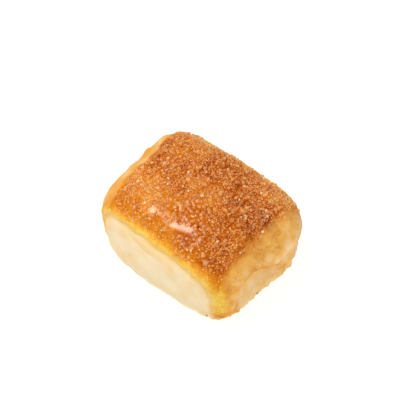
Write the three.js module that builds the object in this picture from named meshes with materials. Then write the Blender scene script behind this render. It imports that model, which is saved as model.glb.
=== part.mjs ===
// A small sugar-crusted Danish pastry: one pillow of soft yeast dough, baked shoulder to shoulder
// with its neighbours in a tray and then pulled apart. All lengths are in millimetres. +X runs along
// its length, +Y across its width, +Z up, and the origin is on its flat base, at the middle of the
// box that just holds the pastry.
import * as THREE from "three";
import { mergeVertices } from "three/addons/utils/BufferGeometryUtils.js";

// Driving dimensions
const LENGTH = 86; // along X at the waist, the widest level
const WIDTH = 69; // along Y at the waist
const WAIST_HEIGHT = 22; // level of the widest outline above the base
const DOME_RISE = 26.5; // from the waist to the crown of the top
const FOOT_DEPTH = 26; // how deep the lower half would go if the tray did not cut it flat

// How square each outline is: 2 is an ellipse, and larger numbers are nearer to a box.
const PLAN_SQUARENESS = 4.7;
const DOME_SQUARENESS = 2.5;
const FOOT_SQUARENESS = 3.8;

// Where the dough rose freely it swells, and where a neighbour or a fold held it, it is drawn in.
// Each place gives its centre, how far it reaches along X, Y and Z, and its push on the surface.
const SWELLS = [
  // the long side at -Y sagged outwards low down
  { at: [-8, -33, 12], reach: [26, 12, 10], push: [0, -2.2, 0] },
  // the long side at +Y sagged less, and a little further along
  { at: [10, 33, 14], reach: [24, 12, 10], push: [0, 1.3, 0] },
  // the end at +X: a full shoulder at the back, a foot that tucks in towards -Y, and a hollow
  { at: [42, 18, 29], reach: [12, 12, 9], push: [1.5, 0, 0] },
  { at: [43, 11, 7], reach: [12, 9, 8], push: [1.6, 0, 0] },
  { at: [38, -24, 3], reach: [12, 12, 6], push: [-0.8, 0, 0] },
  { at: [43, -3, 19], reach: [10, 14, 8], push: [-1.8, 0, 0] },
  // the end at -X: two knuckles on its shoulder, a drawn-in corner, and a shallow hollow below
  { at: [-38, 15, 35], reach: [8, 8, 8], push: [-0.6, 0, 0.7] },
  { at: [-38, -22, 32], reach: [12, 12, 10], push: [0.9, 0.5, -0.5] },
  { at: [-38, -29, 22], reach: [8, 8, 8], push: [0.8, 0.8, 0] },
  { at: [-43, 4, 18], reach: [10, 14, 8], push: [1.6, 0, 0] },
];

const CELLS = 24; // mesh cells along each edge of the starting box
const CRUST_COLOUR = 0xd27d35;
const CRUST_ROUGHNESS = 0.55;

// The point of the plain pillow that lies in the direction of a point on the box from -1 to 1.
function pillowPoint(direction) {
  const across = Math.abs(direction.x) ** PLAN_SQUARENESS + Math.abs(direction.y) ** PLAN_SQUARENESS;
  const outline = across ** (1 / PLAN_SQUARENESS);
  const squareness = direction.z > 0 ? DOME_SQUARENESS : FOOT_SQUARENESS;
  const reach = (outline ** squareness + Math.abs(direction.z) ** squareness) ** (1 / squareness);
  const point = direction.clone().divideScalar(reach);
  const height = point.z > 0 ? point.z * DOME_RISE : point.z * FOOT_DEPTH;
  return new THREE.Vector3(
    (point.x * LENGTH) / 2,
    (point.y * WIDTH) / 2,
    Math.max(height + WAIST_HEIGHT, 0),
  );
}

// Adds every swell to a point. A point of the base stays on the base.
function swollen(point) {
  const moved = point.clone();
  for (const { at, reach, push } of SWELLS) {
    const distance = new THREE.Vector3(
      (point.x - at[0]) / reach[0],
      (point.y - at[1]) / reach[1],
      (point.z - at[2]) / reach[2],
    ).length();
    moved.addScaledVector(new THREE.Vector3(...push), Math.exp(-(distance ** 2)));
  }
  moved.z = point.z > 0 ? Math.max(moved.z, 0) : 0;
  return moved;
}

// The whole closed skin of the pastry, worked from a box whose cells are moved onto it.
function pastryGeometry() {
  const box = new THREE.BoxGeometry(2, 2, 2, CELLS, CELLS, CELLS);
  box.deleteAttribute("normal");
  box.deleteAttribute("uv");
  const skin = mergeVertices(box);
  const position = skin.getAttribute("position");
  const point = new THREE.Vector3();
  for (let i = 0; i < position.count; i++) {
    point.fromBufferAttribute(position, i);
    const { x, y, z } = swollen(pillowPoint(point));
    position.setXYZ(i, x, y, z);
  }
  skin.computeBoundingBox();
  const { min, max } = skin.boundingBox;
  skin.translate(-(min.x + max.x) / 2, -(min.y + max.y) / 2, 0);
  skin.computeVertexNormals();
  return skin;
}

function bakedDough() {
  return new THREE.MeshStandardMaterial({
    color: CRUST_COLOUR,
    roughness: CRUST_ROUGHNESS,
    metalness: 0,
  });
}

const pastry = new THREE.Mesh(pastryGeometry(), bakedDough());
pastry.name = "danish_pastry";

const part = new THREE.Group();
part.add(pastry);

export default part;
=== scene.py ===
"""A small Danish pastry with a sugared crust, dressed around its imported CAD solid.

The bun was proved and baked shoulder to shoulder with its neighbours in a tray and then pulled
apart. Its top is egg-washed, sugared and well browned, its two long sides are the pale crumb that
the neighbours left, its ends are golden, and its base is flat where it sat on the tray.
Lengths are in millimetres until a mesh is finished; the scene is in metres, in the CAD frame:
+X along the pastry, -Y towards the side that faces the camera's left, +Z up.
"""

import logging
import math
from dataclasses import dataclass, field, fields
from enum import Enum

import bmesh
import bpy
import numpy as np
from mathutils import Euler, Matrix, Vector, noise


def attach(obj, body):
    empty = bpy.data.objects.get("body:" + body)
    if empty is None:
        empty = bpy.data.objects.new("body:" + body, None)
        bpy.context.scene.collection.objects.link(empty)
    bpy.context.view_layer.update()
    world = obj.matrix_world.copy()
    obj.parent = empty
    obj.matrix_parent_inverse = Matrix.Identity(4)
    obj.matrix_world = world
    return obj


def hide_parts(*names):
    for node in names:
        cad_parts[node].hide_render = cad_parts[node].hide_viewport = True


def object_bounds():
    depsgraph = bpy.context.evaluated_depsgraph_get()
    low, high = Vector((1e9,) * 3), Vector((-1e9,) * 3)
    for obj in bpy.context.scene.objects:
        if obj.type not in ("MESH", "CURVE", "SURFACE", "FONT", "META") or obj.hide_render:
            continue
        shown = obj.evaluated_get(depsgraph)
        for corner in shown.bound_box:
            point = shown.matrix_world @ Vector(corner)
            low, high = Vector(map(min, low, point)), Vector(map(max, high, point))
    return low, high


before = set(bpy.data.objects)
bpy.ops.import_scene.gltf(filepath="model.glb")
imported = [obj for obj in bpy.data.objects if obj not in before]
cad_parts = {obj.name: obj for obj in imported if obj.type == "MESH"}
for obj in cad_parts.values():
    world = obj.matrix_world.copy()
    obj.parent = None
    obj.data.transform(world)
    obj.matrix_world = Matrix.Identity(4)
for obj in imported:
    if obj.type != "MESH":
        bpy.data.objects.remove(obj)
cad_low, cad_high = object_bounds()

log = logging.getLogger("danish_pastry")

MM = 0.001  # metres
CAD_NODE = "danish_pastry"
BODY = "root"

OUTSIDE = -20.0  # mm; a distance inside a zone's edge that means nowhere near it

Array = np.ndarray
Place = tuple[float, float, float]
Spots = tuple[tuple[Place, float, float], ...]
Steps = tuple[tuple[float, str], ...]
Socket = bpy.types.NodeSocket
Tree = bpy.types.NodeTree


def linear(hex_code: str) -> tuple[float, float, float, float]:
    """Turn an sRGB hex colour to linear.

    Args:
        hex_code: the colour, written "#rrggbb".

    Returns:
        Linear red, green and blue, and an alpha of 1.
    """
    channels = [int(hex_code[i : i + 2], 16) / 255 for i in (1, 3, 5)]
    parts = [c / 12.92 if c <= 0.04045 else ((c + 0.055) / 1.055) ** 2.4 for c in channels]
    return (*parts, 1.0)


def fade(value: Array, start: float, end: float) -> Array:
    """Go smoothly from 0 at the start to 1 at the end, which may be the lower of the two."""
    t = np.clip((value - start) / (end - start), 0.0, 1.0)
    return t * t * (3.0 - 2.0 * t)


def ridge(value: Array, middle: float, width: float) -> Array:
    """Give a soft bump that is 1 at the middle and about a third one width off."""
    return np.exp(-(((value - middle) / width) ** 2))


def add_node(
    tree: Tree, kind: str, inputs: dict | None = None, **settings: object
) -> bpy.types.Node:
    """Add one node with its settings, its values and its links.

    Args:
        tree: the node tree to add to.
        kind: the node's type name.
        inputs: for each input's name or number, a value to set or an output to link from.
        settings: the node's own properties.

    Returns:
        The new node.
    """
    node = tree.nodes.new(kind)
    for name, value in settings.items():
        setattr(node, name, value)
    for key, value in (inputs or {}).items():
        if isinstance(value, Socket):
            tree.links.new(value, node.inputs[key])
        else:
            node.inputs[key].default_value = value
    return node


def new_material(name: str) -> tuple[bpy.types.Material, Tree, Socket]:
    """Start an empty node material.

    Args:
        name: the material's name.

    Returns:
        The material, its node tree, and the output that gives the place on the piece.
    """
    material = bpy.data.materials.new(name)
    material.use_nodes = True
    tree = material.node_tree
    tree.nodes.clear()
    return material, tree, add_node(tree, "ShaderNodeTexCoord").outputs["Object"]


def close_material(tree: Tree, inputs: dict) -> None:
    """Finish a material with one shader, which has these inputs."""
    shader = add_node(tree, "ShaderNodeBsdfPrincipled", inputs)
    add_node(tree, "ShaderNodeOutputMaterial", {"Surface": shader.outputs[0]})


def colour_steps(tree: Tree, share: Socket, steps: Steps) -> Socket:
    """Turn a share from 0 to 1 into a colour.

    Args:
        tree: the node tree to add to.
        share: the output that gives the share.
        steps: places from 0 to 1 with their sRGB hex colours, in order.

    Returns:
        The output with the colour.
    """
    ramp = add_node(tree, "ShaderNodeValToRGB", {"Fac": share})
    elements = ramp.color_ramp.elements
    elements[0].position, elements[0].color = steps[0][0], linear(steps[0][1])
    elements[1].position, elements[1].color = steps[-1][0], linear(steps[-1][1])
    for place, hex_code in steps[1:-1]:
        elements.new(place).color = linear(hex_code)
    return ramp.outputs["Color"]


def pattern(tree: Tree, place: Socket, size_mm: float, detail: float) -> Socket:
    """Add an even random pattern of a real size.

    Args:
        tree: the node tree to add to.
        place: the output that gives the place on the piece, in metres.
        size_mm: how far apart its patches are.
        detail: how many finer layers it has.

    Returns:
        The output with its value from 0 to 1.
    """
    settings = {"Vector": place, "Scale": 1.0 / (size_mm * MM), "Detail": detail, "Roughness": 0.55}
    return add_node(tree, "ShaderNodeTexNoise", settings).outputs["Fac"]


def mixed(tree: Tree, share: Socket, first: Socket, second: Socket) -> Socket:
    """Mix two colours, or two values, by a share.

    Args:
        tree: the node tree to add to.
        share: 0 gives the first, 1 the second.
        first: the first colour or value.
        second: the second one, of the same kind.

    Returns:
        The output with the mixture.
    """
    if first.type == "RGBA":
        inputs = {0: share, 6: first, 7: second}
        return add_node(tree, "ShaderNodeMix", inputs, data_type="RGBA").outputs[2]
    return add_node(tree, "ShaderNodeMix", {0: share, 2: first, 3: second}).outputs[0]


def scaled_sum(
    tree: Tree, value: Socket, scale: Socket | float, base: Socket | float = 0.0
) -> Socket:
    """Multiply a value by a scale and add it to a base."""
    inputs = {0: value, 1: scale, 2: base}
    return add_node(tree, "ShaderNodeMath", inputs, operation="MULTIPLY_ADD").outputs[0]


def varied(tree: Tree, value: Socket, even: Socket, strength: float) -> Socket:
    """Add an even pattern to a value, so that it goes as much up as down."""
    centred = scaled_sum(tree, even, strength, -0.5 * strength)
    return scaled_sum(tree, value, 1.0, centred)


def between(tree: Tree, share: Socket, at_0: float, at_1: float) -> Socket:
    """Turn a share from 0 to 1 into a value between two others."""
    inputs = {"Value": share, "To Min": at_0, "To Max": at_1}
    return add_node(tree, "ShaderNodeMapRange", inputs).outputs["Result"]


def add_object(name: str, data: bpy.types.ID) -> bpy.types.Object:
    """Put a new object in the scene.

    Args:
        name: its name.
        data: its mesh, light or camera.

    Returns:
        The object.
    """
    made = bpy.data.objects.new(name, data)
    bpy.context.scene.collection.objects.link(made)
    return made


def add_facing(name: str, data: bpy.types.ID, place: Vector, target: Vector) -> bpy.types.Object:
    """Put a light or a camera in the scene.

    Args:
        name: its name.
        data: the light or camera.
        place: where it hangs, in metres.
        target: what it faces.

    Returns:
        The object.
    """
    made = add_object(name, data)
    made.location = place
    made.rotation_mode = "QUATERNION"
    made.rotation_quaternion = (target - place).to_track_quat("-Z", "Y")
    return made


def finish_piece(
    name: str, bm: bmesh.types.BMesh, material: bpy.types.Material
) -> bpy.types.Object:
    """Turn what was modelled into a piece that rides on the body.

    Args:
        name: the piece's name.
        bm: its shape in metres, which is freed.
        material: its finish.

    Returns:
        The object.
    """
    mesh = bpy.data.meshes.new(name)
    bm.to_mesh(mesh)
    bm.free()
    mesh.materials.append(material)
    piece = add_object(name, mesh)
    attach(piece, BODY)
    return piece


@dataclass
class Skin:
    """The points of a surface in millimetres, with the way each one faces."""

    points: Array
    normals: Array

    def __post_init__(self) -> None:
        """Name how far along, across and above the base each point is."""
        self.x, self.y, self.z = self.points.T

    @classmethod
    def of(cls, mesh: bpy.types.Mesh) -> "Skin":
        """Read a mesh's vertices.

        Args:
            mesh: a mesh in metres.

        Returns:
            Its points and normals.
        """
        count = len(mesh.vertices)
        points = np.empty(count * 3, np.float32)
        normals = np.empty(count * 3, np.float32)
        mesh.vertices.foreach_get("co", points)
        mesh.vertex_normals.foreach_get("vector", normals)
        return cls(points.reshape(-1, 3).astype(float) / MM, normals.reshape(-1, 3).astype(float))

    def patches(self, size: float, seed: int, stretch: Place = (1.0, 1.0, 1.0)) -> Array:
        """Give smooth random patches, the same at every run.

        Args:
            size: how far apart the patches are, in millimetres.
            seed: a number that picks the pattern.
            stretch: how much longer the patches are along X, Y and Z.

        Returns:
            A value of about -1 to 1 at each point.
        """
        shift = Vector((17.3, -41.9, 5.7)) * seed
        scaled = self.points / (size * np.array(stretch))
        return np.array([noise.noise(Vector(p) + shift) for p in scaled]) * 1.6

    def around(self, centre: Place, reach: float) -> Array:
        """Give a soft round spot of 1 at a centre that has died away a few reaches off."""
        distance = np.linalg.norm(self.points - np.array(centre), axis=1)
        return ridge(distance, 0.0, reach)


@dataclass
class Zones:
    """Where each kind of surface lies on the pastry. Every measure is in millimetres."""

    skin: Skin
    wall_half_length: float = 35.0  # the pale long sides end here, at the corners
    back_wall_shorter: float = 3.0
    wall_height: float = 35.7  # and their crust overhangs them from here
    wall_squareness: float = 5.5
    patch_height: float = 31.0  # the pale hollow on the +X end, highest between these two
    patch_peak: tuple[float, float] = (-11.0, -9.0)
    patch_from: float = -21.5
    patch_to: float = 18.0
    far_patch_middle: tuple[float, float] = (5.0, 12.0)  # the smaller one on the -X end
    far_patch_half: tuple[float, float] = (16.0, 11.0)
    top_from: float = -32.2  # the sugared top lies between these two
    top_to: float = 34.6
    top_lowest: float = 29.5  # and runs down no further at the corners
    pools: tuple[tuple[Place, float], ...] = (
        ((4.8, -23.0, 43.9), 1.0),
        ((8.0, -22.0, 44.5), 1.0),
        ((11.0, -21.0, 44.9), 1.0),
        ((-8.5, -22.5, 44.3), 0.75),
        ((-5.0, -23.0, 44.0), 0.6),
        ((-1.5, -23.5, 43.8), 0.7),
    )  # where the syrup ran together, and how much
    pool_reach: float = 3.5
    wet_place: Place = (8.0, -17.0, 46.0)  # the wettest part of the top
    wet_reach: float = 13.0
    rim_width: float = 2.4  # the yellow line between pale wall and browned top
    base_rise: float = 9.0  # how far the browning of the base climbs the sides

    def __post_init__(self) -> None:
        """Measure how far each point lies inside the edge of each zone."""
        skin = self.skin
        wander = 0.55 * skin.patches(6.0, 1) + 0.25 * skin.patches(2.2, 2)
        self.wall = self._wall() + wander
        self.patch = self._end_patch() + wander
        self.far_patch = self._far_end_patch() + wander
        self.top = self._top() + 1.6 * wander
        self.base = fade(skin.z, 2.2, 0.4)
        pools = [much * skin.around(place, self.pool_reach) for place, much in self.pools]
        self.pool = np.max(pools, axis=0)
        self.wet = skin.around(self.wet_place, self.wet_reach)

    def crinkles(self) -> Array:
        """Find the lines where the skin wrinkled as it bent over at the top of the ends.

        Returns:
            How much of a line there is at each point, from 0 to 1.
        """
        skin = self.skin
        long_lines = 0.8 * ridge(skin.patches(3.4, 15, (1.0, 1.4, 0.8)), 0.0, 0.1)
        short_lines = ridge(skin.patches(2.4, 16), 0.15, 0.1)
        lines = np.maximum(long_lines, short_lines) * fade(skin.patches(9.0, 21), -0.3, 0.3)
        ends = np.maximum(fade(skin.x, 33.0, 36.0), 0.7 * fade(skin.x, -33.0, -36.0))
        return lines * ends * fade(skin.z, 26.0, 33.0) * fade(skin.z, 40.5, 37.0)

    def _wall(self) -> Array:
        """Measure the pale long sides.

        Returns:
            The distance inside their edge at each point.
        """
        n = self.wall_squareness
        towards_back = fade(self.skin.y, 0.0, 20.0)
        half_length = self.wall_half_length - self.back_wall_shorter * towards_back
        along = np.abs(self.skin.x) / half_length
        up = np.maximum(self.skin.z, 0.0) / self.wall_height
        outline = along**n + up**n
        return (1.0 - outline ** (1.0 / n)) * self.wall_half_length

    def _end_patch(self) -> Array:
        """Measure the pale hollow on the +X end.

        Returns:
            The distance inside its edge.
        """
        y, z = self.skin.y, self.skin.z
        right = np.maximum(y - self.patch_peak[1], 0.0)
        left = np.maximum(self.patch_peak[0] - y, 0.0)
        top = self.patch_height - 0.8 * right - 0.07 * left**2
        sides = np.minimum(y - self.patch_from, self.patch_to + 0.2 * (15.0 - z) - y)
        inside = np.minimum(0.8 * (top - z), sides)
        return np.where(self.skin.x > 30.0, inside, OUTSIDE)

    def _far_end_patch(self) -> Array:
        """Measure the smaller pale place on the -X end.

        Returns:
            The distance inside its edge.
        """
        across = (self.skin.y - self.far_patch_middle[0]) / self.far_patch_half[0]
        up = (self.skin.z - self.far_patch_middle[1]) / self.far_patch_half[1]
        inside = (1.0 - np.hypot(across, up)) * 12.0
        return np.where(self.skin.x < -30.0, inside, OUTSIDE)

    def _top(self) -> Array:
        """Measure the browned, sugared top.

        Returns:
            The distance inside its edge.
        """
        x, y, z = self.skin.x, self.skin.y, self.skin.z
        bow = 0.004 * np.minimum(y + 6.0, 0.0) ** 2 - 0.003 * np.maximum(y - 12.0, 0.0) ** 2
        right = self.top_to + bow - x
        left = x - self.top_from + np.where(y > 0.0, 0.18 * y, 0.07 * y)
        over_the_rim = -self._wall() - self.rim_width + np.where(y > 0.0, 2.0, 0.0)
        inside = np.min([right, left, over_the_rim, z - self.top_lowest], axis=0)
        return np.where(z > 24.0, inside, OUTSIDE)


class Mask(Enum):
    """The named values that the crust's material reads at each point, from 0 to 1."""

    # CRUST, WASH, BAKE and DEPTH also carry painted shade and a painted highlight at the +X hollow
    CRUST = "crust"  # 0 is torn crumb, 1 is baked skin
    WASH = "wash"  # how much egg wash and syrup lies on the skin
    BAKE = "bake"  # how deeply the skin is browned
    SUGAR = "sugar"  # how thickly the sugar lies
    GLOSS = "gloss"  # where the syrup ran together to a clear coat
    DEPTH = "depth"  # how golden the dry skin is, and how yellow the crumb


@dataclass(frozen=True)
class BakedDough:
    """Enriched yeast dough: egg-washed and browned in the oven on top, torn crumb at the sides.

    The wash gives the top a deep amber gloss, the dry ends stay satin and sandy, and the crumb is
    matt and lets some light in, so its hollows glow instead of going grey.
    """

    crumb_steps: Steps = ((0.0, "#fae6c4"), (0.5, "#f5dcaa"), (1.0, "#f2cc78"))
    tan_steps: Steps = ((0.0, "#f8d3a0"), (0.45, "#efb55c"), (1.0, "#dc9340"))
    wash_steps: Steps = (
        (0.0, "#f6d65e"),
        (0.3, "#e69c2c"),
        (0.55, "#d37a12"),
        (0.8, "#ae5008"),
        (1.0, "#7a2c02"),
    )
    mottle_mm: float = 7.0  # browning comes in patches of the size of the bubbles under the skin
    mottle_when_dry: float = 0.8
    mottle_when_washed: float = 0.34
    grain_mm: float = 1.3  # sugar syrup browns round each grain
    grain_when_dry: float = 0.6
    grain_when_washed: float = 0.4
    fused_mm: float = 1.1  # the finest sugar fused to a bumpy glaze under the crystals
    fused_browning: float = 0.22
    pore_mm: float = 0.9  # crumb cells, drawn about twice as coarse as the finest so that they show
    relief_mm: float = 0.3
    roughness: tuple[float, float] = (0.65, 0.42)  # dry, and washed with egg
    light_in: tuple[float, float] = (0.45, 0.06)  # how much light enters the crumb, and the crust
    light_depth_mm: float = 2.0
    reflected: str = "#ffb070"  # browned egg wash warms what it reflects

    def material(self) -> bpy.types.Material:
        """Build the node material.

        Returns:
            The material, which reads the masks of Mask.
        """
        material, tree, place = new_material("egg_washed_yeast_dough")
        mask = {
            m: add_node(tree, "ShaderNodeAttribute", attribute_name=m.value).outputs["Fac"]
            for m in Mask
        }
        mottle = pattern(tree, place, self.mottle_mm, 3.0)
        grain = pattern(tree, place, self.grain_mm, 2.0)
        pores = pattern(tree, place, self.pore_mm, 3.0)
        cell = {"Vector": place, "Scale": 1.0 / (self.fused_mm * MM)}
        inside_cell = add_node(tree, "ShaderNodeTexVoronoi", cell).outputs["Distance"]
        fused = scaled_sum(tree, inside_cell, mask[Mask.SUGAR])

        dry = varied(tree, mask[Mask.DEPTH], mottle, self.mottle_when_dry)
        crumb = colour_steps(tree, dry, self.crumb_steps)
        tan = colour_steps(tree, varied(tree, dry, grain, self.grain_when_dry), self.tan_steps)
        browned = varied(tree, mask[Mask.BAKE], mottle, self.mottle_when_washed)
        browned = varied(tree, browned, grain, self.grain_when_washed)
        browned = scaled_sum(tree, fused, self.fused_browning, browned)
        washed = colour_steps(tree, browned, self.wash_steps)
        skin = mixed(tree, mask[Mask.WASH], tan, washed)

        # each fused grain is a low bump
        relief = scaled_sum(tree, fused, -1.0, mixed(tree, mask[Mask.CRUST], pores, grain))
        bump = {"Strength": 0.5, "Distance": self.relief_mm * MM, "Height": relief}
        inputs = {
            "Base Color": mixed(tree, mask[Mask.CRUST], crumb, skin),
            "Roughness": between(tree, mask[Mask.WASH], *self.roughness),
            "IOR": 1.45,
            "Subsurface Weight": between(tree, mask[Mask.CRUST], *self.light_in),
            "Subsurface Radius": (1.0, 0.55, 0.25),
            "Subsurface Scale": self.light_depth_mm * MM,
            "Specular IOR Level": 0.1,
            "Specular Tint": linear(self.reflected),
            "Coat Weight": mask[Mask.GLOSS],
            "Coat Roughness": 0.09,
            "Normal": add_node(tree, "ShaderNodeBump", bump).outputs["Normal"],
        }
        close_material(tree, inputs)
        return material


@dataclass(frozen=True)
class CaramelisedSugar:
    """Granulated sugar that half melted in the oven, so its crystals are amber and wet-looking.

    Each crystal has its own tint, from nearly clear to brown caramel, and its flat facets glint.
    """

    steps: Steps = (
        (0.0, "#f8c878"),
        (0.35, "#efaa58"),
        (0.6, "#df8834"),
        (0.85, "#c46416"),
        (1.0, "#9c4808"),
    )
    # the colour of crystals that stayed clear, and of the painted highlight on each drop
    clear: str = "#ffe4ce"
    reflected: str = "#ffcc9c"  # the caramel warms what it reflects
    cloud_mm: float = 0.6  # the crystals are unevenly cloudy inside
    cloudiness: float = 0.3
    light_depth_mm: float = 0.8

    def material(self) -> bpy.types.Material:
        """Build the node material.

        Returns:
            The material, which reads each crystal's own tint.
        """
        material, tree, place = new_material("caramelised_granulated_sugar")
        tint, clear, wet = (
            add_node(tree, "ShaderNodeAttribute", attribute_name=trait.value).outputs["Fac"]
            for trait in Trait
        )
        cloud = pattern(tree, place, self.cloud_mm, 1.0)
        caramel = colour_steps(tree, varied(tree, tint, cloud, self.cloudiness), self.steps)
        # pale crystals, and the painted highlight on each drop
        pale = colour_steps(tree, cloud, ((0.0, self.clear), (1.0, self.steps[0][1])))
        inputs = {
            "Base Color": mixed(tree, clear, caramel, pale),
            "Roughness": 0.25,
            "IOR": 1.54,
            "Subsurface Weight": 0.25,
            "Subsurface Radius": (1.0, 0.5, 0.25),
            "Subsurface Scale": self.light_depth_mm * MM,
            "Specular IOR Level": 0.4,
            "Specular Tint": linear(self.reflected),
            "Coat Weight": wet,
            "Coat Roughness": 0.06,
        }
        close_material(tree, inputs)
        return material


@dataclass
class Browning:
    """How the oven coloured each point, and where shade and a highlight are painted: the dough's
    masks.
    """

    zones: Zones
    oven_marks: Spots = (
        ((-12.0, -14.0, 46.0), 9.0, -0.14),
        ((3.0, 0.0, 48.0), 8.0, -0.06),
        ((15.5, -4.7, 47.0), 9.0, -0.1),
        ((5.0, -29.0, 40.0), 7.0, -0.08),
        ((33.0, 25.0, 38.0), 8.0, -0.22),
        ((-11.0, 12.0, 47.0), 9.0, 0.05),
        ((27.0, -7.0, 44.0), 8.0, 0.1),
        ((30.0, -20.0, 41.0), 7.0, 0.12),
    )  # where the top browned less or more: centre and reach in mm, and how much
    painted_lip_highlight: Place = (42.6, 7.0, 21.5)  # painted highlight: a pale spot on the lip over the +X hollow
    burnt_foot: Place = (37.2, -28.3, 10.0)  # the brown spot under the near corner
    rim_browning: float = 0.06

    def __post_init__(self) -> None:
        """Work out what several masks share."""
        zones, skin = self.zones, self.zones.skin
        self.at_end = fade(skin.x, 30.0, 36.0)
        # towards the +X end the browning fades out slowly, and the yellow rim is wider
        self.softness = 1.0 + 1.4 * fade(skin.x, 20.0, 30.0)
        self.wider = fade(skin.x, 0.0, 20.0)
        # painted shade: a band just inside the upper edge of the +X hollow, under its lip, darkened
        # through WASH, BAKE and DEPTH
        self.painted_fold_shade = ridge(zones.patch, 1.0, 2.4) * fade(skin.z, 14.0, 20.0)
        self.corner = self._corner()
        self.sugar = fade(zones.top, -0.9 * self.softness, 1.7 * self.softness)
        self.on_top = fade(zones.top, -1.1 * self.softness, 1.0 * self.softness)

    def store(self, mesh: bpy.types.Mesh) -> None:
        """Store every mask on the mesh, point by point.

        Args:
            mesh: the mesh whose points the zones were measured on.
        """
        values = {
            Mask.CRUST: self._crust(),
            Mask.WASH: self._wash(),
            Mask.BAKE: self._bake(),
            Mask.SUGAR: self.sugar,
            Mask.GLOSS: self.on_top * np.clip(1.3 * self.zones.pool, 0.0, 0.9),
            Mask.DEPTH: self._depth(),
        }
        for mask, value in values.items():
            layer = mesh.attributes.new(mask.value, "FLOAT", "POINT")
            layer.data.foreach_set("value", value.astype(np.float32))

    def _corner(self) -> Array:
        """Find the glazed tongue of each corner.

        Returns:
            How much of it there is at each point.
        """
        skin = self.zones.skin
        x, y, z = skin.x, skin.y, skin.z
        ragged = 1.6 * skin.patches(8.0, 20)
        corner = fade(np.abs(x), 31.0, 34.0) * fade(np.abs(y) + ragged, 22.5, 28.0)
        corner *= fade(z, 42.0, 36.0) * fade(z, 3.0, 12.0)
        return corner * (1.0 - 0.55 * fade(y, 0.0, 10.0)) * (1.0 - 0.5 * fade(x, 0.0, -10.0))

    def _crust(self) -> Array:
        """Part the torn crumb from the baked skin.

        Returns:
            The values of Mask.CRUST.
        """
        zones, skin = self.zones, self.zones.skin
        # the hollow at the end is half torn crumb; it is paler low down and darker towards its top
        # and +Y side, a painted shade under its overhanging edge
        hollow = fade(zones.patch, 0.0, 4.5)
        hollow *= 0.55 + 0.25 * fade(skin.z, 24.0, 10.0) - 0.15 * fade(skin.y, -8.0, 4.0)
        wall = fade(zones.wall, -1.5, 1.7)
        # a painted highlight on the lip over the hollow, drawn as paler skin
        painted_lip_highlight = 0.6 * skin.around(self.painted_lip_highlight, 2.2)
        far = 0.7 * fade(zones.far_patch, -1.0, 2.0)
        pale = np.max([wall, hollow, painted_lip_highlight, far], axis=0)
        foot = np.maximum(zones.base, 0.75 * fade(skin.z, zones.base_rise, 1.0) ** 1.5)
        return 1.0 - pale * (1.0 - foot)

    def _wash(self) -> Array:
        """Lay the egg wash.

        Returns:
            The values of Mask.WASH.
        """
        zones, skin = self.zones, self.zones.skin
        # the wash ran past the top to the rim over the pale sides
        rim = ridge(zones.wall, -1.3, 1.4 + 0.5 * self.wider) * (skin.z > 26.0)
        rim *= 1.0 - 0.35 * fade(skin.x, -12.0, -30.0)
        wash = np.clip(self.on_top + rim + self.corner, 0.0, 1.0)
        # painted shade inside the upper edge of the +X hollow
        painted_fold_shade = 0.35 * self.painted_fold_shade * fade(skin.y, -16.0, -4.0)
        return np.max([wash, zones.base * 0.4, painted_fold_shade], axis=0)

    def _bake(self) -> Array:
        """Brown the washed skin.

        Returns:
            The values of Mask.BAKE.
        """
        zones, skin = self.zones, self.zones.skin
        x, y, z = skin.x, skin.y, skin.z
        # the top is brownest towards +X, and paler along its front and back shoulders
        browning = 0.52 + 0.13 * fade(x + 0.4 * y, -24.0, 26.0)
        browning += 0.1 * (skin.patches(15.0, 9) + skin.patches(5.0, 14))
        browning -= 0.12 * fade(y, 0.0, -8.0) * fade(-zones.wall, 13.0, 5.0)
        browning -= 0.1 * fade(y, 18.0, 30.0)
        for centre, reach, amount in self.oven_marks:
            browning += amount * skin.around(centre, reach)
        past_rim = fade(-zones.wall, 0.6, zones.rim_width + 2.4 + 0.6 * self.wider)
        bake = self.rim_browning + (browning - self.rim_browning) * past_rim
        # down the corners the glaze goes from amber to yellow, and back at the foot
        down_the_corner = 0.1 + 0.3 * fade(z, 28.0, 40.0) + 0.2 * fade(z, 19.0, 11.0)
        on_corner = np.maximum(fade(x, -10.0, 10.0), fade(y, 0.0, 10.0))
        on_corner *= fade(zones.top, 0.5, -1.0) * self.corner
        bake += on_corner * (down_the_corner - bake)
        bake += 0.45 * skin.around(self.burnt_foot, 1.8)
        # painted shade inside the upper edge of the +X hollow, browned deeper
        painted_fold_shade = 0.42 * fade(self.painted_fold_shade, 0.05, 0.4) * (zones.top < -3.0)
        bake = np.max([bake, 0.6 * zones.base, painted_fold_shade], axis=0)
        bake += 0.02 * self.sugar * past_rim * (1.0 - zones.pool)
        return np.clip(bake, 0.0, 1.0)

    def _depth(self) -> Array:
        """Turn the dry skin golden and the crumb yellow.

        Returns:
            The values of Mask.DEPTH.
        """
        zones, skin = self.zones, self.zones.skin
        x, y, z = skin.x, skin.y, skin.z
        # the ends are most golden just under the top and in the wrinkles
        golden = 0.31 + 0.32 * fade(z, 29.0, 40.0) + 0.45 * zones.crinkles()
        golden += self.at_end * (0.06 * fade(zones.top, -5.0, -0.5) - 0.08 * fade(y, 4.0, 26.0))
        golden += self.at_end * 0.3 * fade(y, -18.0, -26.0) * fade(z, 10.0, 20.0)
        golden += 0.22 * skin.patches(5.0, 19) - 0.2 * fade(x, -30.0, -36.0)
        golden += 0.2 * fade(-x, 30.0, 36.0) * skin.patches(11.0, 22)
        # the +X hollow is more golden throughout, and darker still inside its upper edge, which is
        # painted shade
        golden += 0.4 * fade(zones.patch, -1.0, 2.0) + 0.6 * self.painted_fold_shade * fade(y, -24.0, -8.0)
        # and the crumb is yellowest along its edge
        yellow = 0.2 + 0.25 * fade(zones.wall, 11.0, 2.0) + 0.55 * fade(zones.wall, 2.8, 0.6)
        yellow += 0.32 * skin.patches(9.0, 17) + 0.12 * skin.patches(3.0, 18)
        return np.clip(np.where(zones.wall > 0.0, yellow, golden), 0.0, 1.0)


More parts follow.
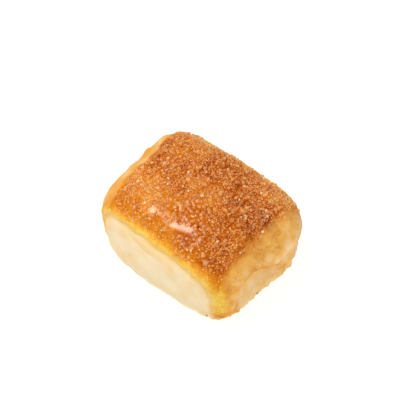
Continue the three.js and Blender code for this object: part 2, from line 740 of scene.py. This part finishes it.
@dataclass
class BakedPillow:
    """The pastry itself: the CAD solid with the skin, rim, hollows and bubbles of real dough."""

    voxel: float = 0.52  # mm
    smoothing_rounds: int = 3
    knuckles: Spots = (
        ((-37.5, 16.0, 38.5), 3.6, 0.9),
        ((-38.0, 10.8, 38.2), 2.8, -1.0),
        ((-38.2, 5.6, 38.2), 3.2, 1.7),
        ((-38.5, -0.4, 38.0), 2.8, -0.9),
        ((-38.5, -5.5, 37.5), 3.4, 0.5),
        ((-33.0, 24.0, 39.0), 4.0, 0.5),
        ((42.6, 12.0, 9.5), 3.0, -0.4),
        ((42.0, 6.0, 8.0), 3.0, -0.5),
        ((-18.0, 30.0, 42.0), 8.0, -1.3),
        ((-8.0, -33.5, 7.0), 12.0, 1.0),
        ((-34.0, -29.0, 12.0), 7.0, -1.3),
        ((34.0, -30.0, 5.0), 5.0, 0.9),
    )  # lumps of dough along the ends: centre, reach and height, all in mm
    name: str = "baked_pillow"
    finish: BakedDough = field(default_factory=BakedDough)

    def build(self) -> bpy.types.Object:
        """Make the finished piece.

        Returns:
            The object, which rides on the body and stands for the CAD solid.
        """
        mesh = self._fine_mesh()
        skin = Skin.of(mesh)
        zones = Zones(skin)
        self._shape(mesh, skin, zones)
        Browning(Zones(Skin.of(mesh))).store(mesh)
        piece = add_object(self.name, mesh)
        mesh.materials.clear()
        mesh.materials.append(self.finish.material())
        mesh.shade_smooth()
        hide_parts(CAD_NODE)
        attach(piece, BODY)
        return piece

    def _fine_mesh(self) -> bpy.types.Mesh:
        """Copy the CAD solid and give it even cells that are small enough for the dough's relief.

        Returns:
            A closed mesh in metres.
        """
        bm = bmesh.new()
        bm.from_mesh(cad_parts[CAD_NODE].data)
        bmesh.ops.remove_doubles(bm, verts=bm.verts, dist=0.001 * MM)
        bmesh.ops.join_triangles(
            bm, faces=bm.faces, angle_face_threshold=math.pi, angle_shape_threshold=math.pi
        )
        coarse = bpy.data.meshes.new(self.name + "_coarse")
        bm.to_mesh(coarse)
        bm.free()
        holder = add_object(self.name + "_coarse", coarse)
        rounding = holder.modifiers.new("rounding", "SUBSURF")
        rounding.levels = rounding.render_levels = 2
        cells = holder.modifiers.new("cells", "REMESH")
        cells.mode = "VOXEL"
        cells.voxel_size = self.voxel * MM
        graph = bpy.context.evaluated_depsgraph_get()
        mesh = bpy.data.meshes.new_from_object(holder.evaluated_get(graph))
        bpy.data.objects.remove(holder)
        bpy.data.meshes.remove(coarse)
        mesh.name = self.name
        # even out the small steps that the cells leave
        bm = bmesh.new()
        bm.from_mesh(mesh)
        for _ in range(self.smoothing_rounds):
            bmesh.ops.smooth_vert(
                bm, verts=bm.verts, factor=0.5, use_axis_x=True, use_axis_y=True, use_axis_z=True
            )
        bm.to_mesh(mesh)
        bm.free()
        return mesh

    def _shape(self, mesh: bpy.types.Mesh, skin: Skin, zones: Zones) -> None:
        """Push the skin out and in along its normals.

        Args:
            mesh: the mesh to change.
            skin: its points.
            zones: where each kind of surface lies.
        """
        y, z = skin.y, skin.z
        wall, patch = zones.wall, zones.patch
        push = 0.35 * skin.patches(13.0, 3) + 0.22 * skin.patches(6.0, 4)
        push *= 1.0 - 0.8 * zones.wet
        # the crust's edge stands a little proud of the wall that was torn away under it
        push += 0.65 * ridge(wall, -1.3, 1.3) * (z > 20.0)
        push -= 0.55 * ridge(wall, 1.6, 1.6) * (z > 6.0)
        # the torn crumb is softly drawn out in strands and folds
        strands = 0.14 * skin.patches(2.4, 5, (1.0, 1.0, 2.2))
        strands += 0.2 * skin.patches(7.0, 6, (2.0, 1.0, 1.0))
        folds = ridge(skin.patches(14.0, 10, (1.6, 1.0, 0.8)), 0.0, 0.25) * fade(wall, 1.5, 5.0)
        push += fade(wall, -0.6, 0.8) * (strands - 0.6 * folds)
        # blisters in the syrup under the sugar; where it is wettest they ran smooth
        blisters = 0.2 * skin.patches(2.0, 7) + 0.18 * skin.patches(3.6, 8)
        calm = np.clip(1.0 - 1.6 * zones.pool, 0.0, 1.0) * (1.0 + 0.5 * zones.wet)
        push += fade(zones.top, -1.0, 1.0) * calm * blisters
        push -= 0.3 * zones.crinkles()
        # the hollow at the +X end has a soft upper edge with a lip over it
        push -= 2.6 * fade(patch, -0.8, 2.8) * fade(z, 11.0, 19.0) * fade(z, 36.0, 24.0)
        push += 0.6 * ridge(patch, -1.6, 1.8) * fade(z, 12.0, 20.0) * fade(z, 31.0, 26.0)
        # and the foot below it is ragged
        ragged = 0.45 + 0.5 * skin.patches(2.6, 11) + 0.3 * skin.patches(1.4, 13)
        push += fade(skin.x, 30.0, 36.0) * fade(z, 16.0, 9.0) * ragged
        push -= 0.7 * fade(zones.far_patch, -0.5, 1.5)
        push -= 0.7 * fade(y, 22.0, 30.0) * fade(z, 30.0, 38.0)
        for centre, reach, height in self.knuckles:
            push += height * skin.around(centre, reach)
        push *= fade(z, 0.0, 1.5)
        moved = skin.points + skin.normals * push[:, None]
        moved[:, 2] = np.maximum(moved[:, 2], 0.0)
        mesh.vertices.foreach_set("co", (moved * MM).astype(np.float32).ravel())
        mesh.update()


class Trait(Enum):
    """The named values that the sugar's material reads on each crystal, from 0 to 1."""

    TINT = "tint"  # from pale gold to dark caramel
    CLEAR = "clear"  # 1 is a crystal that stayed nearly clear; on a drop, the painted highlight at its foot
    WET = "wet"  # 1 is a drop that is still wet with syrup


class Crystal(Enum):
    """The two shapes that the sugar takes."""

    BLOCK = "block"  # a crystal that kept its facets
    BEAD = "bead"  # one that melted to a drop


@dataclass
class Strewn:
    """Where some crystals lie, one row for each, in millimetres."""

    places: Array
    normals: Array
    widths: Array
    browning: Array  # how brown the crust is there
    wetness: Array  # how wet with syrup it is there
    cover: Array  # how thickly the sugar was strewn there

    def take(self, chosen: Array | slice) -> "Strewn":
        """Pick some of the crystals."""
        return Strewn(*(getattr(self, column.name)[chosen] for column in fields(self)))


BEAD_RADIUS = 0.55  # in crystal widths; it makes up for the flats of a coarse sphere


@dataclass
class SugarCrust:
    """The sugar strewn on the wet egg wash, which baked on as a crust of fused crystals."""

    body: bpy.types.Object
    name: str = "sugar_crystals"
    seed: int = 7
    tries: int = 16000
    crystal_mm: float = 0.92  # coarse granulated sugar
    spread: float = 0.34
    widest_mm: float = 1.7
    narrowest_mm: float = 0.45
    gap: float = 0.64  # how near two crystals may lie, in crystal widths
    cell_mm: float = 2.6  # the pastry is searched for neighbours in cells of this size
    batch: int = 120
    sink: float = -0.15  # the syrup holds each crystal by its lower part
    edge_mm: float = 0.14  # how far its edges have melted away
    beads_share: float = 0.45
    clear_share: float = 0.05
    tint_spread: float = 0.44
    drop_from: float = 0.42  # how wet the crust is where the sugar melted to clear drops
    drop_mm: tuple[float, float] = (1.5, 2.8)
    drop_tint: float = 0.15  # how much browner a drop is than the crust round it
    finish: CaramelisedSugar = field(default_factory=CaramelisedSugar)

    def build(self) -> bpy.types.Object:
        """Make the finished piece.

        Returns:
            The object, which rides on the body.
        """
        random = np.random.default_rng(self.seed)
        strewn = self._strew(random)
        whole = bmesh.new()
        for start in range(0, len(strewn.places), self.batch):
            self._add_batch(whole, random, strewn.take(slice(start, start + self.batch)))
        log.info("%s: %d crystals", self.name, len(strewn.places))
        return finish_piece(self.name, whole, self.finish.material())

    def _strew(self, random: np.random.Generator) -> Strewn:
        """Choose where the crystals lie.

        Args:
            random: the source of chance.

        Returns:
            The crystals, none of which lies too near another.
        """
        mesh = self.body.data
        skin = Skin.of(mesh)
        cover, browning = np.empty((2, len(mesh.vertices)), np.float32)
        mesh.attributes[Mask.SUGAR.value].data.foreach_get("value", cover)
        mesh.attributes[Mask.BAKE.value].data.foreach_get("value", browning)
        zones = Zones(skin)
        # less sugar stayed along the front edge, in the pools and in a few thin patches
        near_front = fade(-zones.wall, 11.0, 4.0) * (skin.y < 0.0)
        bare = (1.0 - 0.75 * near_front) * (1.0 - np.minimum(1.4 * zones.pool, 1.0))
        thin = 1.0 - 0.45 * fade(skin.patches(11.0, 12), 0.1, 0.7)
        share = cover * bare * thin
        picked = random.choice(len(share), self.tries, p=share / share.sum())
        wetness = zones.wet[picked]
        widths = self.crystal_mm * np.exp(self.spread * random.standard_normal(self.tries))
        widths = np.minimum(widths * (1.0 - 0.3 * near_front[picked]), self.widest_mm)
        drops = wetness > self.drop_from
        widths[drops] = random.uniform(*self.drop_mm, np.count_nonzero(drops))
        strewn = Strewn(
            skin.points[picked] + random.uniform(-0.25, 0.25, (self.tries, 3)),
            skin.normals[picked],
            np.maximum(widths, self.narrowest_mm),
            browning[picked],
            wetness,
            cover[picked],
        )
        return strewn.take(self._spaced(strewn))

    def _spaced(self, strewn: Strewn) -> Array:
        """Leave out each crystal that would lie too near an earlier one.

        Args:
            strewn: all the crystals.

        Returns:
            The numbers of those that stay.
        """
        # they lie wider apart where it is wet, and where little sugar was strewn
        room = 0.5 * self.gap * strewn.widths * (1.0 + 0.3 * strewn.wetness)
        room *= 1.0 + 1.2 * (1.0 - strewn.cover)
        steps = [(dx, dy, dz) for dx in (-1, 0, 1) for dy in (-1, 0, 1) for dz in (-1, 0, 1)]
        taken: dict[tuple[int, ...], list[int]] = {}
        kept: list[int] = []
        for i, place in enumerate(strewn.places):
            cell = tuple(int(c // self.cell_mm) for c in place)
            cells = [tuple(c + d for c, d in zip(cell, step)) for step in steps]
            near = [j for around in cells for j in taken.get(around, ())]
            if all(math.dist(strewn.places[j], place) > room[i] + room[j] for j in near):
                taken.setdefault(cell, []).append(i)
                kept.append(i)
        return np.array(kept)

    def _add_batch(
        self, whole: bmesh.types.BMesh, random: np.random.Generator, strewn: Strewn
    ) -> None:
        """Make some crystals and add them to the rest.

        Args:
            whole: what the crystals are added to, in metres.
            random: the source of chance.
            strewn: the crystals to make.
        """
        drops = strewn.wetness > self.drop_from
        beads = random.uniform(size=len(drops)) < np.where(drops, 1.0, self.beads_share)
        for kind in Crystal:
            bm = bmesh.new()
            layers = {trait: bm.verts.layers.float.new(trait.value) for trait in Trait}
            for i in np.flatnonzero(beads == (kind is Crystal.BEAD)):
                self._add_crystal(bm, layers, random, kind, strewn.take(slice(i, i + 1)))
            if kind is Crystal.BLOCK:
                melted = {"offset": self.edge_mm * MM, "segments": 1, "profile": 0.5}
                bmesh.ops.bevel(bm, geom=bm.edges, affect="EDGES", material=-1, **melted)
            for face in bm.faces:
                face.smooth = kind is Crystal.BEAD
            bmesh.ops.recalc_face_normals(bm, faces=bm.faces)
            part = bpy.data.meshes.new("crystal_batch")
            bm.to_mesh(part)
            bm.free()
            whole.from_mesh(part)
            bpy.data.meshes.remove(part)

    def _add_crystal(
        self,
        bm: bmesh.types.BMesh,
        layers: dict[Trait, bmesh.types.BMLayerItem],
        random: np.random.Generator,
        kind: Crystal,
        one: Strewn,
    ) -> None:
        """Make one crystal with its traits.

        Args:
            bm: what it is added to.
            layers: where each trait is kept.
            random: the source of chance.
            kind: its shape.
            one: where it lies.
        """
        width, wetness = float(one.widths[0]), float(one.wetness[0])
        drop = kind is Crystal.BEAD and wetness > self.drop_from
        matrix = self._pose(random, kind, one)
        if kind is Crystal.BLOCK:
            made = bmesh.ops.create_cube(bm, size=1.0, matrix=matrix)["verts"]
        else:
            rounds = 2 if drop else 1
            made = bmesh.ops.create_icosphere(
                bm, subdivisions=rounds, radius=BEAD_RADIUS, matrix=matrix
            )["verts"]
        stayed_clear = random.uniform() < self.clear_share
        tint = float(one.browning[0]) + self.tint_spread * (random.beta(2.0, 2.0) - 0.5)
        traits = {
            Trait.TINT: min(tint + self.drop_tint * drop, 0.9),
            Trait.CLEAR: random.uniform(0.5, 1.0) if stayed_clear else random.uniform(0.0, 0.3),
            Trait.WET: min(1.3 * wetness, 1.0),
        }
        jitter = 0.03 if drop else 0.09
        # a painted highlight: a pale arc round the side of each drop's foot that faces the main
        # softbox
        up = Vector(one.normals[0]).normalized()
        painted_highlight_side = Vector(random.normal((-0.5, -0.4, 0.0), 0.6)).normalized()
        for vert in made:
            for trait, value in traits.items():
                vert[layers[trait]] = value
            if drop:
                out = (vert.co - matrix.translation) / (BEAD_RADIUS * width * MM)
                out -= up * out.dot(up)
                pale = fade(out.length, 0.55, 0.82) * fade(out.dot(painted_highlight_side), -0.3, 0.1)
                vert[layers[Trait.CLEAR]] = float(pale)
            vert.co += Vector(random.uniform(-jitter, jitter, 3)) * width * MM

    def _pose(self, random: np.random.Generator, kind: Crystal, one: Strewn) -> Matrix:
        """Give the size, turn and place of one crystal.

        Args:
            random: the source of chance.
            kind: the crystal's shape.
            one: where it lies.

        Returns:
            The matrix that takes a shape of width 1 to its place, in metres.
        """
        width, normal = float(one.widths[0]), Vector(one.normals[0])
        centre = Vector(one.places[0]) + normal * width * self.sink
        turn = Euler(random.uniform(0.0, math.tau, 3)).to_matrix().to_4x4()
        stretch = Vector(random.uniform(0.75, 1.15, 3)) * width * MM
        if kind is Crystal.BEAD:
            turn = normal.to_track_quat("Z", "Y").to_matrix().to_4x4()
            stretch.z *= 0.6
        return Matrix.Translation(centre * MM) @ turn @ Matrix.Diagonal(stretch).to_4x4()


@dataclass(frozen=True)
class ScorchedCrumb:
    """Crumb that burnt on the tray: dry and matt, and nearly black where it is thin."""

    steps: Steps = ((0.3, "#b4743a"), (0.7, "#6a4022"))
    pore_mm: float = 0.5
    relief_mm: float = 0.2

    def material(self) -> bpy.types.Material:
        """Build the node material.

        Returns:
            The material of the scorched crumbs.
        """
        material, tree, place = new_material("scorched_bread_crumb")
        pores = pattern(tree, place, self.pore_mm, 2.0)
        bump = {"Strength": 0.6, "Distance": self.relief_mm * MM, "Height": pores}
        inputs = {
            "Base Color": colour_steps(tree, pores, self.steps),
            "Roughness": 0.85,
            "Normal": add_node(tree, "ShaderNodeBump", bump).outputs["Normal"],
        }
        close_material(tree, inputs)
        return material


@dataclass
class StrayCrumbs:
    """A few scorched crumbs that stuck to the torn lower edges."""

    body: bpy.types.Object
    name: str = "stray_crumbs"
    seed: int = 3
    crumbs: tuple[tuple[Place, float], ...] = (
        ((41.5, -6.8, 10.0), 0.9),
        ((42.0, -4.0, 8.0), 0.6),
        ((34.0, -35.0, 9.0), 0.7),
        ((-12.0, 36.0, 5.0), 1.1),
        ((-42.0, 12.0, 6.0), 0.9),
    )  # about where each one is, and its width
    jitter: float = 0.07  # how rough it is, in widths
    finish: ScorchedCrumb = field(default_factory=ScorchedCrumb)

    def build(self) -> bpy.types.Object:
        """Make the finished piece.

        Returns:
            The object, which rides on the body.
        """
        random = np.random.default_rng(self.seed)
        skin = Skin.of(self.body.data)
        bm = bmesh.new()
        for place, width in self.crumbs:
            nearest = int(np.argmin(np.linalg.norm(skin.points - np.array(place), axis=1)))
            centre = Vector(skin.points[nearest] + 0.2 * width * skin.normals[nearest])
            turn = Euler(random.uniform(0.0, math.tau, 3)).to_matrix().to_4x4()
            stretch = Vector(random.uniform(0.7, 1.2, 3)) * width * MM
            matrix = Matrix.Translation(centre * MM) @ turn @ Matrix.Diagonal(stretch).to_4x4()
            made = bmesh.ops.create_icosphere(bm, subdivisions=2, radius=0.5, matrix=matrix)
            for vert in made["verts"]:
                vert.co += Vector(random.uniform(-self.jitter, self.jitter, 3)) * width * MM
        return finish_piece(self.name, bm, self.finish.material())


@dataclass(frozen=True)
class LightTable:
    """Opal acrylic over lamps, as product tables are: it is white, matt, and hides most shadow."""

    glow: float = 0.77
    mirror_share: float = 0.15  # a dark hood keeps the table out of the reflections
    face: str = "#a6a6a6"
    face_bright: str = "#acacac"
    cloud_mm: float = 400.0

    def material(self) -> bpy.types.Material:
        """Build the node material.

        Returns:
            The material of the pale floor.
        """
        material, tree, place = new_material("opal_acrylic")
        cloud = pattern(tree, place, self.cloud_mm, 1.0)
        colour = colour_steps(tree, cloud, ((0.0, self.face), (1.0, self.face_bright)))
        mirrored = add_node(tree, "ShaderNodeLightPath").outputs["Is Glossy Ray"]
        dimmed = self.glow * self.mirror_share
        inputs = {
            "Base Color": colour,
            "Roughness": 0.7,
            "Emission Color": (1.0, 1.0, 1.0, 1.0),
            "Emission Strength": between(tree, mirrored, self.glow, dimmed),
        }
        close_material(tree, inputs)
        return material


@dataclass(frozen=True)
class Softbox:
    """One square softbox that hangs to one side of the pastry and faces its middle."""

    name: str
    side: Place  # which way it hangs from the pastry
    width: float  # metres
    power: float  # watts
    colour: str = "#fff0e2"
    distance: float = 0.62  # metres

    def build(self, middle: Vector) -> None:
        """Hang it.

        Args:
            middle: the middle of the pastry, in metres.
        """
        data = bpy.data.lights.new(self.name, "AREA")
        data.shape = "SQUARE"
        data.size = self.width
        data.energy = self.power
        data.color = linear(self.colour)[:3]
        place = middle + Vector(self.side).normalized() * self.distance
        add_facing(self.name, data, place, middle)


@dataclass
class Studio:
    """A pale floor, soft light and the camera."""

    azimuth: float = 41.8  # degrees; 0 looks along +Y
    elevation: float = 53.8
    distance: float = 423.0  # mm from the middle of the pastry
    lens: float = 80.3
    headroom: float = 8.5  # mm by which the pastry lies below the middle of the frame
    floor_width: float = 6000.0
    backdrop: float = 1.0  # how bright the surroundings look
    room_light: float = 0.36  # how much light they give
    mirror_share: float = 0.15  # and how much of that shows in reflections
    softboxes: tuple[Softbox, ...] = (
        Softbox("softbox_over", (-0.4, -0.28, 0.87), 0.25, 0.95),
        # its bright middle, which glares on the syrup
        Softbox("softbox_core", (-0.4, -0.28, 0.87), 0.17, 0.95, distance=0.61),
        Softbox("softbox_end", (0.74, -0.22, 0.63), 0.40, 1.25, colour="#ffffff"),
        # small ones that each put a point of light on every drop and facet
        Softbox("small_softbox_0", (-0.4, 0.19, 0.9), 0.06, 0.2),
        Softbox("small_softbox_1", (-0.78, -0.05, 0.62), 0.06, 0.2),
        Softbox("small_softbox_2", (-0.12, -0.12, 1.0), 0.06, 0.2),
    )

    def build(self) -> None:
        """Make the floor, the lights and the camera."""
        self._floor()
        self._world()
        middle = (cad_low + cad_high) / 2
        for softbox in self.softboxes:
            softbox.build(middle)
        self._camera(middle)

    def _floor(self) -> None:
        """Lay the floor that the pastry stands on."""
        bm = bmesh.new()
        bmesh.ops.create_grid(bm, x_segments=1, y_segments=1, size=self.floor_width * MM / 2)
        mesh = bpy.data.meshes.new("studio_floor")
        bm.to_mesh(mesh)
        bm.free()
        mesh.materials.append(LightTable().material())
        add_object("studio_floor", mesh)

    def _world(self) -> None:
        """Surround the set with even white light."""
        world = bpy.data.worlds.new("white_studio")
        world.use_nodes = True
        tree = world.node_tree
        tree.nodes.clear()
        path = add_node(tree, "ShaderNodeLightPath").outputs
        seen = between(tree, path["Is Camera Ray"], self.room_light, self.backdrop)
        mirrored = between(tree, path["Is Glossy Ray"], 1.0, self.mirror_share)
        light = {"Color": (1.0, 1.0, 1.0, 1.0), "Strength": scaled_sum(tree, seen, mirrored)}
        back = add_node(tree, "ShaderNodeBackground", light)
        add_node(tree, "ShaderNodeOutputWorld", {"Surface": back.outputs[0]})
        bpy.context.scene.world = world
        bpy.context.scene.view_settings.view_transform = "Standard"

    def _camera(self, middle: Vector) -> None:
        """Set the camera.

        Args:
            middle: the middle of the pastry, in metres.
        """
        a, e = math.radians(self.azimuth), math.radians(self.elevation)
        back = Vector((math.sin(a) * math.cos(e), -math.cos(a) * math.cos(e), math.sin(e)))
        right = Vector((math.cos(a), math.sin(a), 0.0))
        up = back.cross(right)
        data = bpy.data.cameras.new("camera")
        data.lens = self.lens
        data.clip_start, data.clip_end = 0.01, 20.0
        place = middle + back * self.distance * MM
        aim = middle + up * self.headroom * MM
        bpy.context.scene.camera = add_facing("camera", data, place, aim)


def main() -> None:
    """Build the pastry, its sugar and the studio."""
    logging.basicConfig(level=logging.INFO)
    Studio().build()
    pillow = BakedPillow().build()
    for piece in (pillow, SugarCrust(pillow).build(), StrayCrumbs(pillow).build()):
        log.info("%s: %d faces", piece.name, len(piece.data.polygons))


if __name__ == "__main__":
    main()
